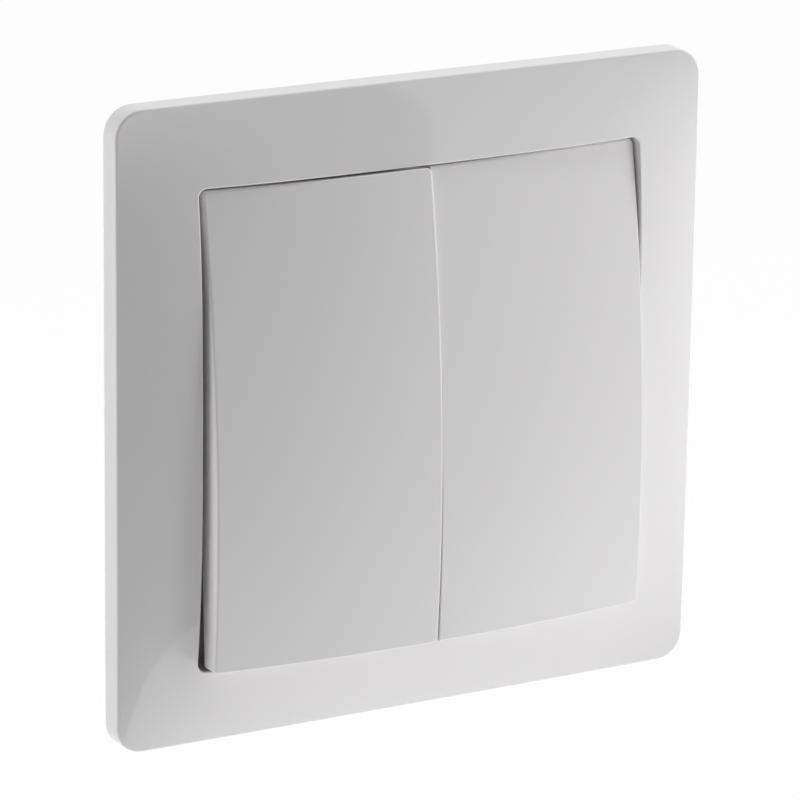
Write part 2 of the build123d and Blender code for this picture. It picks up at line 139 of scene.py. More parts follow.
def srgb(code):
    """Linear colour of an sRGB hex code, with full alpha."""
    parts = [int(code[i : i + 2], 16) / 255 for i in (1, 3, 5)]
    return (*(p / 12.92 if p <= 0.04045 else ((p + 0.055) / 1.055) ** 2.4 for p in parts), 1.0)


def length(name, description, default):
    """Property that holds a length in metres."""
    return FloatProperty(name=name, description=description, default=default, unit="LENGTH", precision=5)


def angle(name, description, degrees):
    """Property that holds an angle, given in degrees."""
    return FloatProperty(
        name=name, description=description, default=math.radians(degrees), unit="ROTATION", precision=3
    )


def share(name, description, default):
    """Property that holds a share from 0 to 1."""
    return FloatProperty(
        name=name, description=description, default=default, min=0, max=1, subtype="FACTOR", precision=3
    )


def brightness(name, description, default):
    """Property that holds how bright a lamp's face is, where 1 shows as white."""
    return FloatProperty(name=name, description=description, default=default, min=0, precision=3)


def colour(name, description, code):
    """Property that holds a colour, given as an sRGB hex code."""
    return FloatVectorProperty(
        name=name, description=description, default=srgb(code), size=4, min=0, max=1, subtype="COLOR"
    )


class CoverFrameSettings(bpy.types.PropertyGroup):
    """Sizes of the cover frame."""

    side: length("Side", "Width and height of the frame", frame_high.x - frame_low.x)
    middle: length("Middle", "How far right of the mechanism the frame sits", (frame_low + frame_high).x / 2)
    corner: length("Corner", "Radius of the frame's corners", 3.65 * MM)
    edge: length("Edge", "Height of the frame's outer wall", 3.1 * MM)
    draft: angle("Draft", "Lean of the outer wall out of its mould", 2.0)
    rise: length("Rise", "How far the face would swell above the edge in the middle", 6.1 * MM)
    fullness: share("Fullness", "How far the face keeps its height towards the edge", 0.63)
    wall: length("Wall", "Thickness of the face and the outer wall", 1.8 * MM)
    ridge_round: length("Ridge round", "Radius between the outer wall and the face", 0.35 * MM)
    window: length("Window", "Width and height of the opening for the rockers", 61.65 * MM)
    window_corner: length("Window corner", "Radius of the opening's corners", 1.1 * MM)
    window_round: length("Window round", "Radius of the opening's front edge", 0.2 * MM)
    collar: length("Collar", "Thickness of the wall round the opening", 1.5 * MM)
    collar_foot: length("Collar foot", "Height at which the collar stands on the strap", 1.0 * MM)
    rib_length: length("Rib length", "Length of the guide rib on each side of the opening", 11.4 * MM)
    rib_depth: length("Rib depth", "How far the guide ribs stand into the opening", 0.2 * MM)
    rib_drop: length("Rib drop", "How far below the front edge the guide ribs begin", 0.7 * MM)
    rib_height: length("Rib height", "Height of the guide ribs", 2.6 * MM)
    pocket_length: length("Pocket length", "Length of the pockets for the holding teeth", 10.0 * MM)
    pocket_depth: length("Pocket depth", "How far the pockets reach into the collar", 0.88 * MM)
    pocket_low: length("Pocket floor", "Height at which the pockets begin", 2.0 * MM)
    pocket_high: length("Pocket roof", "Height at which the pockets end", 3.2 * MM)


class RockerSettings(bpy.types.PropertyGroup):
    """Sizes of the two rockers."""

    outer: length("Outer side", "Distance of a rocker's outer side from the middle", -rocker_low.x)
    inner: length("Seam side", "Distance of a rocker's seam side from the middle", 0.03 * MM)
    half_height: length("Half height", "Distance of a rocker's ends from the pivot", 30.375 * MM)
    pivot: length("Pivot height", "Height of the pivot above the wall", -rock["pos_m"][1])
    tilt: angle("Tilt", "Lean of a rocker at rest, half of its travel", rock["range_deg"][1] / 2)
    left_ease: angle("Left ease", "How much less the left rocker leans, from the play of its snap legs", 0.7)
    left_lift: length("Left lift", "How much prouder the left rocker sits, from the same play", 0.17 * MM)
    right_drop: length("Right drop", "How much deeper the right rocker sits, pressed home", 0.15 * MM)
    right_reach: length("Right reach", "How much farther out the right rocker's outer side lies", 0.1 * MM)
    foot: length("Corner height", "Height of the crown's corners above the pivot", 2.1 * MM)
    across: length("Bulge across", "Rise of the crown over both rockers", 2.2 * MM)
    along: length("Bulge along", "Rise of the crown from end to end", 2.0 * MM)
    skirt: length("Skirt", "How far the skirt reaches below the pivot", 0.6 * MM)
    wall: length("Wall", "Thickness of the skirt", 1.4 * MM)
    face: length("Face", "Thickness of the face", 1.6 * MM)
    corner: length("Corner", "Radius of the two outer corners", 0.7 * MM)
    seam_corner: length("Seam corner", "Radius of the two corners at the seam", 0.7 * MM)
    edge_round: length("Edge round", "Radius between the skirt and the face", 0.35 * MM)
    right_seam: share("Right seam", "Size of the right rocker's seam rounds beside the left one's", 0.35)
    rib: length("Rib", "Thickness of the ribs that sit on the cradle", 1.4 * MM)
    unit: length("Unit", "Distance of a cradle's middle from the seam", abs(rock["pos_m"][0]))
    seat: length("Seat", "Height of the ribs' feet above the pivot", 2.8 * MM)
    rib_root: length("Rib root", "Height inside the face at which the ribs end", 4.7 * MM)
    cradle_width: length("Cradle width", "Width of the cradle under a rocker", 18.8 * MM)
    cradle_length: length("Cradle length", "Length of the cradle under a rocker", 22.0 * MM)
    leg_spacing: length("Leg spacing", "Distance between the two snap legs", 16.0 * MM)
    leg_width: length("Leg width", "Width of a snap leg", 5.0 * MM)
    leg_thickness: length("Leg thickness", "Thickness of a snap leg", 1.2 * MM)
    leg_foot: length("Leg foot", "Height of the legs' feet above the pivot", 0.42 * MM)
    barb: length("Barb", "How far the hook of a leg stands out", 0.5 * MM)
    barb_height: length("Barb height", "Height of the hook of a leg", 0.7 * MM)
    bearing_notch: length("Bearing notch", "Half length of the notch over the middle bearing", 4.8 * MM)
    bearing_reach: length("Bearing reach", "How far the bearing notch reaches from the seam", 2.85 * MM)
    bearing_roof: length("Bearing roof", "Height of the bearing notch above the pivot", 2.4 * MM)
    screw_notch: length("Screw notch", "Half size of the notch over each box screw", 4.2 * MM)
    screw_place: length("Screw place", "Distance of the box screws from the middle", 30.0 * MM)
    screw_roof: length("Screw roof", "Height of the screw notches above the pivot", 2.0 * MM)


class FinishSettings(bpy.types.PropertyGroup):
    """Colours of the materials."""

    frame_white: colour("Frame white", "White of the cover frame", "#F1EFF0")
    rocker_white: colour("Rocker white", "White of the rockers", "#F0EEEF")
    cover_white: colour("Cover white", "White of the mechanism's front", "#E4E4E0")
    base_grey: colour("Base grey", "Grey of the mechanism box", "#C9C9C4")
    cradle_grey: colour("Cradle grey", "Grey of the cradles", "#8E9196")
    plunger_cream: colour("Plunger cream", "Natural colour of the plungers", "#E3DFD2")
    zinc: colour("Zinc", "Bright zinc plating", "#C9CCCF")
    dull_zinc: colour("Dull zinc", "Weathered zinc plating of the strap", "#B3ADA7")
    wire_steel: colour("Wire steel", "Drawn spring steel", "#A9A9A8")
    brass: colour("Brass", "Stamped brass", "#D9BC7A")
    copper: colour("Copper", "Stamped copper", "#DE9C7C")
    silver: colour("Silver", "Pressed silver", "#EDEBE4")


class StageSettings(bpy.types.PropertyGroup):
    """Camera, light and floor."""

    azimuth: angle("Azimuth", "Camera's turn about the switch, from the front to the right", -28.8)
    elevation: angle("Elevation", "Camera's height above the horizon", 17.1)
    roll: angle("Roll", "Camera's turn about its own axis", 0.83)
    distance: length("Distance", "Camera's distance from the switch", 607.3 * MM)
    near: length("Near limit", "Distance from which on the camera sees", 10.0 * MM)
    lens: FloatProperty(
        name="Lens", description="Focal length for a 36 mm sensor", default=218.78, unit="CAMERA"
    )
    aim: FloatVectorProperty(
        name="Aim", description="Point that the camera looks at", default=(-1.91 * MM, -3.1 * MM, -0.03 * MM),
        subtype="TRANSLATION", precision=5,
    )
    key: brightness("Key", "Brightness of the tall softbox in front on the right", 1.48)
    side: brightness("Side", "Brightness of the softbox on the right", 3.3)
    top: brightness("Top", "Brightness of the panel above", 3.85)
    low: brightness("Low", "Brightness of the reflector on the floor on the right", 3.5)
    floor: brightness("Floor", "Brightness of the reflector on the floor in front", 0.77)
    left: brightness("Left", "Brightness of the strip on the left, a little behind", 7.6)
    rear: brightness("Rear", "Brightness of the panel behind", 1.2)
    room: brightness("Room", "Brightness of the room where no lamp stands", 0.12)
    floor_drop: length("Floor drop", "Distance of the floor below the switch", 160.0 * MM)
    floor_reach: length("Floor reach", "Distance of the floor's edges from the switch", 4.0)
    floor_white: colour("Floor white", "Colour of the floor", "#F4F4F2")
    floor_shadow: share("Floor shadow", "Share of the floor's own shading that the camera sees", 0.025)
    flag_black: colour("Flag black", "Colour of the cloth behind the camera", "#191919")
    flag_left: length("Flag left", "Place of the cloth's left edge", -1.7)
    flag_foot: length("Flag foot", "Place of the hung cloth's right edge at the floor", 0.34)
    flag_head: length("Flag head", "Place of the hung cloth's right edge at its head", 0.602)
    flag_high: length("Flag height", "Height of the hung cloth's upper edge", 1.3)
    flag_back: length("Flag back", "How far in front of the wall the cloth hangs", 0.75)
    flag_front: length("Flag front", "How far in front of the wall the laid cloth ends", 0.33)
    flag_clear: length("Flag clearance", "How far above the floor the cloth lies", 1.0 * MM)


def rounded_outline(half_x, half_z, radii):
    """Points of a rounded rectangle and the outward direction at each, as two arrays.

    Each corner is a quarter circle about its centre, cut into even angles, and each side an even run
    from one corner's end to the next one's start. The corners go anticlockwise from +x +z.
    """
    signs = np.array([(1, 1), (-1, 1), (-1, -1), (1, -1)], float)
    radius = np.broadcast_to(np.asarray(radii, float), 4)[:, None, None]
    centres = signs[:, None] * (np.array([half_x, half_z]) - radius)
    turn = np.radians(90 * np.arange(4)[:, None] + np.linspace(0, 90, CORNER_STEPS + 1))
    outward = np.stack([np.cos(turn), np.sin(turn)], -1)
    arcs = centres + radius * outward
    along = np.linspace(0, 1, SIDE_STEPS + 1)[1:-1, None]
    runs = arcs[:, -1:] + (np.roll(arcs, -1, 0)[:, :1] - arcs[:, -1:]) * along
    square = np.repeat(outward[:, -1:], SIDE_STEPS - 1, 1)
    points = np.concatenate([arcs, runs], 1).reshape(-1, 2)
    return points, np.concatenate([outward, square], 1).reshape(-1, 2)


def round_over(outline, outward, height, radius, lean=0.0):
    """Rounded edge between an upright wall and a curved face, from the wall to the face.

    It is the path of a ball: its centre lies one radius inside the wall and, square to the slope, one
    radius below the face. The arc turns from the wall's lean to the direction of the face's normal.
    The radius is one number, or one for each point of the outline.
    """
    radius = np.broadcast_to(radius, len(outline))
    centre = outline - outward * radius[:, None]
    reach = outward * radius[:, None] * SLOPE_REACH
    slope = (height(centre - reach) - height(centre + reach)) / (2 * SLOPE_REACH * radius)
    tilt = np.arctan(slope)
    core = height(centre) - radius / np.cos(tilt)
    turn = lean + (np.pi / 2 - tilt - lean) * np.linspace(0, 1, ROUND_STEPS + 1)[:, None]
    plan = centre + (radius * np.cos(turn))[..., None] * outward
    return plan, core + radius * np.sin(turn)


def held_steps(count):
    """Shares from 0 to 1, even but for one step close to each end that keeps the shading crisp there."""
    return np.concatenate([[HOLD], np.linspace(0, 1, count + 1)[1:-1], [1 - HOLD]])


def between(first, last, steps):
    """Rings between two rings: each point moves evenly from its place on the first to the last."""
    return first + np.asarray(steps)[:, None, None] * (last - first)


def level(outline, height):
    """One ring at a single height."""
    return outline[None], np.full((1, len(outline)), height)


def on_face(plan, height):
    """Rings that lie on a face."""
    return plan, height(plan)


def stand(plan, height, pivot=0.0, tilt=0.0):
    """Points in space of a plan and heights over it: forwards is -Y, and the whole leans about a pivot."""
    x, up = plan[..., 0], plan[..., 1]
    y = -pivot + up * math.sin(tilt) - height * math.cos(tilt)
    z = up * math.cos(tilt) + height * math.sin(tilt)
    return np.stack([x, y, z], -1)


def ring_quads(rows, columns, closed):
    """Quads between neighbouring rings, and from the last ring to the first on a closed body."""
    row = np.arange(rows if closed else rows - 1)[:, None] * columns
    above = (row + columns) % (rows * columns)
    column = np.arange(columns)[None]
    beside = (column + 1) % columns
    corners = np.broadcast_arrays(row + column, row + beside, above + beside, above + column)
    return np.stack(corners, -1).reshape(-1, 4)


def solid(name, points, faces):
    """Object of a closed mesh, its doubled points merged and its faces turned outwards."""
    mesh = bpy.data.meshes.new(name)
    mesh.from_pydata(points, [], faces)
    work = bmesh.new()
    work.from_mesh(mesh)
    bmesh.ops.remove_doubles(work, verts=work.verts, dist=WELD)
    bmesh.ops.recalc_face_normals(work, faces=work.faces)
    if not all(edge.is_manifold for edge in work.edges):
        raise RuntimeError(f"{name} isn't closed")
    work.to_mesh(mesh)
    work.free()
    piece = bpy.data.objects.new(name, mesh)
    bpy.context.scene.collection.objects.link(piece)
    return piece


def skin(name, rings, closed):
    """Object of a surface through rings of points, which ends in two seams or closes on itself."""
    rows, columns, _ = rings.shape
    return solid(name, rings.reshape(-1, 3), ring_quads(rows, columns, closed))


def block(low, high, pivot=0.0, tilt=0.0):
    """Box between two corners given as x, up and height: every mix of the corners' values, as 8 points."""
    ends = np.array([low, high], float)
    pick = np.indices((2, 2, 2)).reshape(3, -1).T
    corners = ends[pick, np.arange(3)]
    faces = [(0, 1, 3, 2), (4, 6, 7, 5), (0, 4, 5, 1), (2, 3, 7, 6), (0, 2, 6, 4), (1, 5, 7, 3)]
    return solid("block", stand(corners[:, :2], corners[:, 2], pivot, tilt), faces)


def carve(piece, operation, blocks):
    """Joins blocks to a closed piece or cuts them out of it, and keeps the outcome as its mesh."""
    for tool in blocks:
        step = piece.modifiers.new("carve", "BOOLEAN")
        step.operation = operation
        step.solver = "MANIFOLD"
        step.object = tool
    bpy.context.view_layer.update()
    carved = bpy.data.meshes.new_from_object(piece.evaluated_get(bpy.context.evaluated_depsgraph_get()))
    piece.modifiers.clear()
    piece.data = carved
    carved.name = piece.name
    # A block goes with its mesh
    for tool in blocks:
        bpy.data.meshes.remove(tool.data)


def dress(piece, finish, body, node):
    """Gives a new piece its finish and shading, and lets it stand for a node on its body."""
    piece.data.materials.clear()
    piece.data.materials.append(finish)
    piece.data.shade_smooth()
    piece.data.set_sharp_from_angle(angle=SHARP_ANGLE)
    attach(piece, body)
    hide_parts(node)


def frame_face(s):
    """Height of the frame's face over its plan: the edge plus the rise times a curve in x and one in z.

    With u the squared share of the half side, each curve is (1 - u)(1 + fullness u).
    """

    def height(plan):
        u = (plan / (s.side / 2)) ** 2
        return s.edge + s.rise * np.prod((1 - u) * (1 + s.fullness * u), -1)

    return height


def frame_rings(s):
    """Rings of the cover frame, from its back edge over the wall, face and opening round to its inside."""
    face = frame_face(s)
    half, opening = s.side / 2, s.window / 2
    inset = s.edge * math.tan(s.draft)
    foot, _ = rounded_outline(half, half, s.corner)
    wall, outward = rounded_outline(half - inset, half - inset, s.corner - inset)
    ridge = round_over(wall, outward, face, s.ridge_round, s.draft)
    window, inward = rounded_outline(opening, opening, s.window_corner)
    lip = [rings[::-1] for rings in round_over(window, -inward, face, s.window_round)]
    collar, _ = rounded_outline(opening + s.collar, opening + s.collar, s.window_corner + s.collar)
    inside, _ = rounded_outline(half - s.wall, half - s.wall, s.corner - s.wall)

    def underside(plan):
        return face(plan) - s.wall

    upright = np.array([[0.0], [1 - HOLD]])
    runs = [
        (between(foot, ridge[0][0], upright[:, 0]), upright * ridge[1][0]),
        ridge,
        on_face(between(ridge[0][-1], lip[0][0], held_steps(FACE_STEPS)), face),
        lip,
        level(window, s.collar_foot),
        level(collar, s.collar_foot),
        on_face(between(collar, inside, np.linspace(0, 1, UNDER_STEPS + 1)), underside),
        level(inside, 0.0),
    ]
    plan, height = (np.concatenate(part) for part in zip(*runs))
    return stand(plan + (s.middle, 0.0), height)


def make_cover_frame(s):
    """Cover frame with its guide ribs and the pockets that the mechanism's teeth snap into."""
    piece = skin("moulded_cover_frame", frame_rings(s), True)
    opening = s.window / 2
    edge = frame_face(s)(np.array([opening, 0.0]))
    rib_top = edge - s.rib_drop
    ribs, pockets = [], []
    for side in (-1, 1):
        wall = s.middle + side * opening
        reach = sorted((wall - side * s.rib_depth, wall + side * s.collar / 2))
        ribs.append(block(
            (reach[0], -s.rib_length / 2, rib_top - s.rib_height), (reach[1], s.rib_length / 2, rib_top)
        ))
        pockets.append(block(
            (wall - s.pocket_depth, -s.pocket_length / 2, s.pocket_low),
            (wall + s.pocket_depth, s.pocket_length / 2, s.pocket_high),
        ))
    carve(piece, "UNION", ribs)
    carve(piece, "DIFFERENCE", pockets)
    return piece


def crown(s):
    """Height of the rockers' face over its plan: a parabola across both plus one from end to end."""

    def height(plan):
        u = (plan / (s.outer, s.half_height)) ** 2
        return s.foot + s.across * (1 - u[..., 0]) + s.along * (1 - u[..., 1])

    return height


def rocker_rings(s, side):
    """Rings of one rocker, from the middle of its face over the edge and skirt to the middle of its inside.

    The innermost rings lie flat on the rocker's middle line, so each closes into a seam.
    """
    face = crown(s)
    outer, fine = (s.outer + s.right_reach, s.right_seam) if side > 0 else (s.outer, 1.0)
    half = (outer - s.inner) / 2
    middle = np.array([side * (outer + s.inner) / 2, 0.0])
    seam = fine * s.seam_corner
    left, right = (seam, s.corner) if side > 0 else (s.corner, seam)
    outline, outward = rounded_outline(half, s.half_height, (right, left, left, right))
    to_seam = np.clip(-side * outward[:, 0], 0, 1)
    radius = s.edge_round * (1 + (fine - 1) * to_seam)
    edge = [rings[::-1] for rings in round_over(middle + outline, outward, face, radius)]
    spine = middle + rounded_outline(0, s.half_height - half, 0)[0]
    inside = middle + rounded_outline(half - s.wall, s.half_height - s.wall, s.edge_round)[0]

    def underside(plan):
        return face(plan) - s.face

    down = np.array([[HOLD], [1.0]])
    top = edge[1][-1]
    runs = [
        on_face(spine[None], face),
        on_face(between(spine, edge[0][0], held_steps(FACE_STEPS)), face),
        edge,
        (np.repeat(edge[0][-1:], len(down), 0), top - down * (top + s.skirt)),
        level(inside, -s.skirt),
        on_face(between(inside, spine, np.linspace(0, 1, UNDER_STEPS + 1)), underside),
    ]
    plan, height = (np.concatenate(part) for part in zip(*runs))
    return stand(plan, height, *rocker_seat(s, side))


def rocker_seat(s, side):
    """Height of a rocker's pivot and its lean: the left one stands off, the right one is pressed home."""
    if side < 0:
        return s.pivot + s.left_lift, s.tilt - s.left_ease
    return s.pivot - s.right_drop, s.tilt


def make_rocker(s, hand, side):
    """One rocker with the ribs and snap legs under its face and the notches in its skirt."""
    piece = skin(f"moulded_{hand}_rocker", rocker_rings(s, side), False)
    unit = side * s.unit

    def upright(x, up, half_x, half_up, low, high):
        near, far = (x - half_x, up - half_up, low), (x + half_x, up + half_up, high)
        return block(near, far, *rocker_seat(s, side))

    # The long ribs stand one rib's thickness in from the cradle's sides
    spread = s.cradle_width / 2 - s.rib
    leg_root = s.seat + s.rib / 2
    hook_half = (s.leg_thickness + s.barb) / 2
    hook_top = s.leg_foot + s.barb_height
    cut_foot = -s.skirt - OVERCUT
    added, cut = [], []
    for end in (-1, 1):
        rib = unit + end * (spread - s.rib / 2)
        leg = end * s.leg_spacing / 2
        hook = leg + end * s.barb / 2
        added.append(upright(rib, 0, s.rib / 2, s.cradle_length / 2, s.seat, s.rib_root))
        added.append(upright(unit, leg, spread, s.rib / 2, s.seat, s.rib_root))
        added.append(upright(unit, leg, s.leg_width / 2, s.leg_thickness / 2, s.leg_foot, leg_root))
        added.append(upright(unit, hook, s.leg_width / 2, hook_half, s.leg_foot, hook_top))
        cut.append(upright(0, end * s.screw_place, s.screw_notch, s.screw_notch, cut_foot, s.screw_roof))
    cut.append(upright(0, 0, s.bearing_reach, s.bearing_notch, cut_foot, s.bearing_roof))
    carve(piece, "UNION", added)
    carve(piece, "DIFFERENCE", cut)
    return piece


def add(tree, kind, inputs=None, **settings):
    """Adds a node with its settings; an input is a value, or a node and its output to link from."""
    node = tree.nodes.new(kind)
    for name, value in settings.items():
        setattr(node, name, value)
    for socket, value in (inputs or {}).items():
        if isinstance(value, tuple) and isinstance(value[0], bpy.types.Node):
            tree.links.new(value[0].outputs[value[1]], node.inputs[socket])
        else:
            node.inputs[socket].default_value = value
    return node


def new_finish(name):
    """Empty node material."""
    finish = bpy.data.materials.new(name)
    finish.use_nodes = True
    finish.node_tree.nodes.clear()
    return finish, finish.node_tree


def noise(tree, place, output, size_mm, detail):
    """Noise whose features are about the given size in millimetres."""
    inputs = {"Vector": (place, output), "Scale": 1 / (size_mm * MM), "Detail": detail}
    return add(tree, "ShaderNodeTexNoise", inputs)


def coat(tree, tone, shade, cloud, roughness, sheen, depth_mm, bump, **inputs):
    """Surface whose colour, gloss and relief each follow a noise pattern.

    The colour drifts from the tone to a darker shade of it by the cloud, the roughness runs between two
    values by the sheen, and the bump is a relief of the given depth.
    """
    tone = tuple(tone)
    darker = (*(part * shade for part in tone[:3]), 1.0)
    tint = add(
        tree, "ShaderNodeMix", {MIX_FACTOR: (cloud, "Fac"), MIX_FIRST: tone, MIX_SECOND: darker},
        data_type="RGBA",
    )
    low, high = roughness
    gloss = add(tree, "ShaderNodeMapRange", {
        "Value": (sheen, "Fac"), "From Min": NOISE_LOW, "From Max": NOISE_HIGH,
        "To Min": low, "To Max": high,
    })
    relief = add(tree, "ShaderNodeBump", {
        "Height": (bump, "Fac"), "Strength": 1.0, "Distance": depth_mm * MM,
    })
    surface = add(tree, "ShaderNodeBsdfPrincipled", {
        "Base Color": (tint, MIX_RESULT), "Roughness": (gloss, "Result"), "Normal": (relief, "Normal"),
        **inputs,
    })
    add(tree, "ShaderNodeOutputMaterial", {"Surface": (surface, "BSDF")})


def moulded_plastic(name, tone, shade, roughness, ior, peel_mm, peel_depth_mm, cloud_mm):
    """Moulded plastic: a faint drift of colour and gloss by broad noise, and its mould's fine waviness."""
    finish, tree = new_finish(name)
    place = add(tree, "ShaderNodeTexCoord")
    cloud = noise(tree, place, "Object", cloud_mm, detail=3.0)
    peel = noise(tree, place, "Object", peel_mm, detail=2.0)
    coat(tree, tone, shade, cloud, roughness, cloud, peel_depth_mm, peel, IOR=ior)
    return finish


def plain_metal(name, tone, shade, roughness, grain_mm, stretch, depth_mm, stain_mm):
    """Bare or plated metal: slow staining by broad noise, and grain drawn out along x by the stretch."""
    finish, tree = new_finish(name)
    place = add(tree, "ShaderNodeTexCoord")
    drawn = add(tree, "ShaderNodeMapping", {"Vector": (place, "Object"), "Scale": (1 / stretch, 1.0, 1.0)})
    grain = noise(tree, drawn, "Vector", grain_mm, detail=3.0)
    stain = noise(tree, place, "Object", stain_mm, detail=4.0)
    coat(tree, tone, shade, stain, roughness, grain, depth_mm, grain, Metallic=1.0)
    return finish


def repaint(finish, *nodes):
    """Gives CAD nodes a finish in place of their plain one."""
    for name in nodes:
        for slot in frame["nodes"][name].material_slots:
            slot.material = finish


def both(piece):
    """Names of a piece's left and right node."""
    return f"left_{piece}", f"right_{piece}"


class SWITCH_OT_cover_frame(bpy.types.Operator):
    """Builds the cover frame's moulded skin"""

    bl_idname = "switch.cover_frame"
    bl_label = "Cover frame"

    def execute(self, context):
        colours = context.scene.switch_finish
        # Polished ABS: a hard bright gloss that shows the black cloth's edge, with a trace of waviness
        gloss = moulded_plastic(
            "abs_white_polished_mould", colours.frame_white, shade=0.985, roughness=(0.03, 0.05),
            ior=ABS_IOR, peel_mm=1.6, peel_depth_mm=0.0004, cloud_mm=18.0,
        )
        piece = make_cover_frame(context.scene.switch_cover_frame)
        dress(piece, gloss, "switch_body", "cover_frame")
        return {"FINISHED"}


class SWITCH_OT_rockers(bpy.types.Operator):
    """Builds the two rockers' moulded skins"""

    bl_idname = "switch.rockers"
    bl_label = "Rockers"

    def execute(self, context):
        colours = context.scene.switch_finish
        # Satin ABS: the mould's fine matting spreads the lights into soft gradients
        satin = moulded_plastic(
            "abs_white_satin_mould", colours.rocker_white, shade=0.985, roughness=(0.36, 0.42),
            ior=ABS_IOR, peel_mm=0.5, peel_depth_mm=0.0006, cloud_mm=22.0,
        )
        for hand, side in (("left", -1), ("right", 1)):
            piece = make_rocker(context.scene.switch_rockers, hand, side)
            dress(piece, satin, f"{hand}_rocker_unit", f"{hand}_rocker")
        return {"FINISHED"}


class SWITCH_OT_mechanism_plastics(bpy.types.Operator):
    """Finishes the plastics of the mechanism"""

    bl_idname = "switch.mechanism_plastics"
    bl_label = "Mechanism plastics"

    def execute(self, context):
        colours = context.scene.switch_finish
        # Filled polyamide straight from a sparked mould: dull, slightly cloudy, finely rough
        repaint(
            moulded_plastic(
                "polyamide_white_sparked_mould", colours.cover_white, shade=0.95, roughness=(0.5, 0.6),
                ior=POLYAMIDE_IOR, peel_mm=0.4, peel_depth_mm=0.004, cloud_mm=9.0,
            ),
            "mechanism_cover",
        )
        repaint(
            moulded_plastic(
                "polyamide_grey_sparked_mould", colours.base_grey, shade=0.92, roughness=(0.5, 0.62),
                ior=POLYAMIDE_IOR, peel_mm=0.4, peel_depth_mm=0.005, cloud_mm=8.0,
            ),
            "mechanism_base",
        )
        # Acetal: slippery, waxy half gloss
        repaint(
            moulded_plastic(
                "acetal_grey_moulded", colours.cradle_grey, shade=0.95, roughness=(0.3, 0.38),
                ior=ACETAL_IOR, peel_mm=0.8, peel_depth_mm=0.002, cloud_mm=7.0,
            ),
            *both("cradle"),
        )
        repaint(
            moulded_plastic(
                "acetal_natural_moulded", colours.plunger_cream, shade=0.96, roughness=(0.26, 0.32),
                ior=ACETAL_IOR, peel_mm=0.8, peel_depth_mm=0.001, cloud_mm=4.0,
            ),
            *both("plunger"),
        )
        return {"FINISHED"}


class SWITCH_OT_metals(bpy.types.Operator):
    """Finishes the strap, screws, springs and contacts"""

    bl_idname = "switch.metals"
    bl_label = "Metals"

    def execute(self, context):
        colours = context.scene.switch_finish
        # Rolled sheet under weathered zinc: dull, with faint rolling lines and milky patches
        repaint(
            plain_metal(
                "steel_zinc_plated_rolled", colours.dull_zinc, shade=0.86, roughness=(0.4, 0.52),
                grain_mm=0.25, stretch=14.0, depth_mm=0.002, stain_mm=6.0,
            ),
            "support_strap",
        )
        # Turned screws under zinc: short tight grain
        repaint(
            plain_metal(
                "steel_zinc_plated_turned", colours.zinc, shade=0.88, roughness=(0.2, 0.32),
                grain_mm=0.12, stretch=4.0, depth_mm=0.001, stain_mm=2.0,
            ),
            "terminal_screws",
        )
        # Drawn wire: dark and evenly bright along its length
        repaint(
            plain_metal(
                "spring_steel_drawn", colours.wire_steel, shade=0.9, roughness=(0.22, 0.3),
                grain_mm=0.1, stretch=3.0, depth_mm=0.0006, stain_mm=2.0,
            ),
            *both("plunger_spring"),
        )
        # Stamped brass: rolled strip with a warm, slightly stained face
        repaint(
            plain_metal(
                "brass_stamped_strip", colours.brass, shade=0.82, roughness=(0.2, 0.34),
                grain_mm=0.2, stretch=10.0, depth_mm=0.0012, stain_mm=4.0,
            ),
            "common_contact", *both("load_contact"),
        )
        # Upset brass: heads burnished by the riveting tool
        repaint(
            plain_metal(
                "brass_upset_rivet", colours.brass, shade=0.85, roughness=(0.16, 0.3),
                grain_mm=0.3, stretch=2.0, depth_mm=0.002, stain_mm=2.0,
            ),
            "housing_rivets",
        )
        # Stamped copper: soft red strip, a little duller than the brass
        repaint(
            plain_metal(
                "copper_stamped_strip", colours.copper, shade=0.8, roughness=(0.24, 0.36),
                grain_mm=0.2, stretch=10.0, depth_mm=0.0012, stain_mm=4.0,
            ),
            *both("moving_contact"),
        )
        # Pressed silver: pale contact faces with a fine grain
        repaint(
            plain_metal(
                "silver_pressed", colours.silver, shade=0.9, roughness=(0.18, 0.3),
                grain_mm=0.1, stretch=1.0, depth_mm=0.0008, stain_mm=1.0,
            ),
            *both("moving_tip"), *both("fixed_tip"),
        )
        return {"FINISHED"}


def facing(turn, rise):
    """Right, up and back of something that looks at the switch from a turn and a rise.

    Back points from the switch to it, right is level, and up is square to both.
    """
    back = Vector((math.sin(turn) * math.cos(rise), -math.cos(turn) * math.cos(rise), math.sin(rise)))
    right = Vector((math.cos(turn), math.sin(turn), 0))
    return right, back.cross(right), back


def stand_at(thing, axes, place):
    """Turns an object to its axes, puts it in its place and adds it to the scene."""
    thing.matrix_world = Matrix(axes).transposed().to_4x4()
    thing.location = place
    bpy.context.scene.collection.objects.link(thing)


def make_camera(s):
    """Camera on a sphere about its aim, with its right and up turned about the line of sight by the roll."""
    right, up, back = facing(s.azimuth, s.elevation)
    right = right * math.cos(s.roll) + up * math.sin(s.roll)
    camera = bpy.data.objects.new("camera", bpy.data.cameras.new("camera"))
    camera.data.lens = s.lens
    camera.data.clip_start = s.near
    stand_at(camera, (right, back.cross(right), back), Vector(s.aim) + back * s.distance)
    bpy.context.scene.camera = camera


def make_lamps(s):
    """Softboxes and panels, each turned to the point that it faces.

    A face of brightness 1 gives off pi watts a square metre. The gloss shows the white room in their place.
    """
    for lamp in LAMPS:
        light = bpy.data.lights.new(f"{lamp.name}_lamp", "AREA")
        light.shape = "RECTANGLE"
        light.size = lamp.width
        light.size_y = lamp.height
        light.energy = math.pi * lamp.width * lamp.height * getattr(s, lamp.name)
        box = bpy.data.objects.new(light.name, light)
        box.visible_camera = False
        box.visible_glossy = False
        right, up, back = facing(math.radians(lamp.turn), math.radians(lamp.rise))
        stand_at(box, (right, up, back), Vector(lamp.aim) + back * lamp.distance)


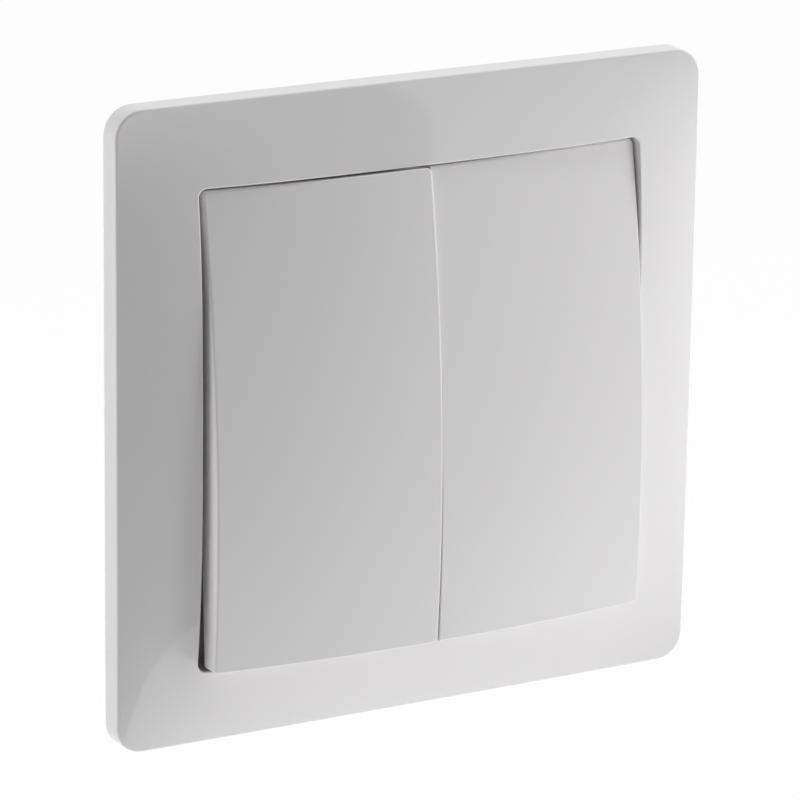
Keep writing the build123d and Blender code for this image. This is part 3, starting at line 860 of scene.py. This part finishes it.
def stage_sheet(name, corners, finish):
    """Flat sheet through four corners, marked as stage."""
    mesh = bpy.data.meshes.new(name)
    mesh.from_pydata(corners, [], [(0, 1, 2, 3)])
    mesh.materials.append(finish)
    sheet = bpy.data.objects.new(name, mesh)
    bpy.context.scene.collection.objects.link(sheet)
    return sheet


def background_ray(tree):
    """Node that is 1 for rays that show the background: to the eye and in a gloss."""
    ray = add(tree, "ShaderNodeLightPath")
    inputs = {0: (ray, "Is Camera Ray"), 1: (ray, "Is Glossy Ray")}
    return add(tree, "ShaderNodeMath", inputs, operation="MAXIMUM")


def floor_height(s):
    """Height of the floor along z."""
    return cad_low.z - s.floor_drop


def make_floor(s):
    """Pale matte floor. To the eye, and in reflections, most of its tone is the white of the background."""
    finish, tree = new_finish("paper_white_matte")
    seen = background_ray(tree)
    part = add(tree, "ShaderNodeMath", {0: (seen, 0), 1: 1 - s.floor_shadow}, operation="MULTIPLY")
    paper = add(tree, "ShaderNodeBsdfDiffuse", {"Color": tuple(s.floor_white)})
    white = add(tree, "ShaderNodeEmission", {"Color": WHITE, "Strength": 1.0})
    mix = add(tree, "ShaderNodeMixShader", {0: (part, 0), 1: (paper, 0), 2: (white, 0)})
    add(tree, "ShaderNodeOutputMaterial", {"Surface": (mix, 0)})
    reach, low = s.floor_reach, floor_height(s)
    corners = [(-reach, -reach, low), (reach, -reach, low), (reach, reach, low), (-reach, reach, low)]
    stage_sheet("floor", corners, finish)


def make_flag(s):
    """Black cloth that hangs behind the camera and lies on the floor below it, seen in the gloss alone.

    Its right edge runs on over the floor towards the switch.
    """
    finish, tree = new_finish("cotton_black_woven")
    cloth = add(tree, "ShaderNodeBsdfDiffuse", {"Color": tuple(s.flag_black)})
    add(tree, "ShaderNodeOutputMaterial", {"Surface": (cloth, 0)})
    left, foot, head, high = s.flag_left, s.flag_foot, s.flag_head, s.flag_high
    back, front, low = -s.flag_back, -s.flag_front, floor_height(s) + s.flag_clear
    hung = [(left, back, low), (foot, back, low), (head, back, high), (left, back, high)]
    laid = [(left, back, low), (foot, back, low), (foot * front / back, front, low), (left, front, low)]
    for name, corners in (("hung_flag", hung), ("laid_flag", laid)):
        flag = stage_sheet(name, corners, finish)
        flag.visible_camera = False
        flag.visible_diffuse = False
        flag.visible_shadow = False


def make_world(s):
    """Dim room that shows as white where it is seen."""
    world = bpy.data.worlds.new("room")
    world.use_nodes = True
    tree = world.node_tree
    tree.nodes.clear()
    seen = background_ray(tree)
    room = add(tree, "ShaderNodeBackground", {"Color": WHITE, "Strength": s.room})
    white = add(tree, "ShaderNodeBackground", {"Color": WHITE, "Strength": 1.0})
    mix = add(tree, "ShaderNodeMixShader", {0: (seen, 0), 1: (room, 0), 2: (white, 0)})
    add(tree, "ShaderNodeOutputWorld", {"Surface": (mix, 0)})
    bpy.context.scene.world = world


class SWITCH_OT_stage(bpy.types.Operator):
    """Sets up the camera, the floor and the light"""

    bl_idname = "switch.stage"
    bl_label = "Stage"

    def execute(self, context):
        settings = context.scene.switch_stage
        make_camera(settings)
        make_lamps(settings)
        make_flag(settings)
        make_floor(settings)
        make_world(settings)
        context.scene.view_settings.view_transform = "Standard"
        return {"FINISHED"}


class SWITCH_PT_sidebar(bpy.types.Panel):
    """Lists the switch's settings and the steps that build it"""

    bl_idname = "SWITCH_PT_sidebar"
    bl_label = "Double rocker switch"
    bl_space_type = "VIEW_3D"
    bl_region_type = "UI"
    bl_category = "Switch"

    def draw(self, context):
        for group, (_, operators) in sections.items():
            box = self.layout.box()
            settings = getattr(context.scene, group)
            for name in settings.bl_rna.properties.keys():
                if name not in ("rna_type", "name"):
                    box.prop(settings, name)
            for operator in operators:
                box.operator(operator.bl_idname)


sections = {
    "switch_cover_frame": (CoverFrameSettings, [SWITCH_OT_cover_frame]),
    "switch_rockers": (RockerSettings, [SWITCH_OT_rockers]),
    "switch_finish": (FinishSettings, [SWITCH_OT_mechanism_plastics, SWITCH_OT_metals]),
    "switch_stage": (StageSettings, [SWITCH_OT_stage]),
}
classes = [cls for group, operators in sections.values() for cls in (group, *operators)] + [SWITCH_PT_sidebar]


def register():
    """Registers the classes and hangs the settings on the scene."""
    for cls in classes:
        bpy.utils.register_class(cls)
    for name, (group, _) in sections.items():
        setattr(bpy.types.Scene, name, PointerProperty(type=group))


def unregister():
    """Takes the settings and the classes away again."""
    for name in sections:
        delattr(bpy.types.Scene, name)
    for cls in reversed(classes):
        bpy.utils.unregister_class(cls)


def main():
    """Builds the switch and its stage."""
    register()
    bpy.ops.switch.cover_frame()
    bpy.ops.switch.rockers()
    bpy.ops.switch.mechanism_plastics()
    bpy.ops.switch.metals()
    bpy.ops.switch.stage()


if __name__ == "__main__":
    main()
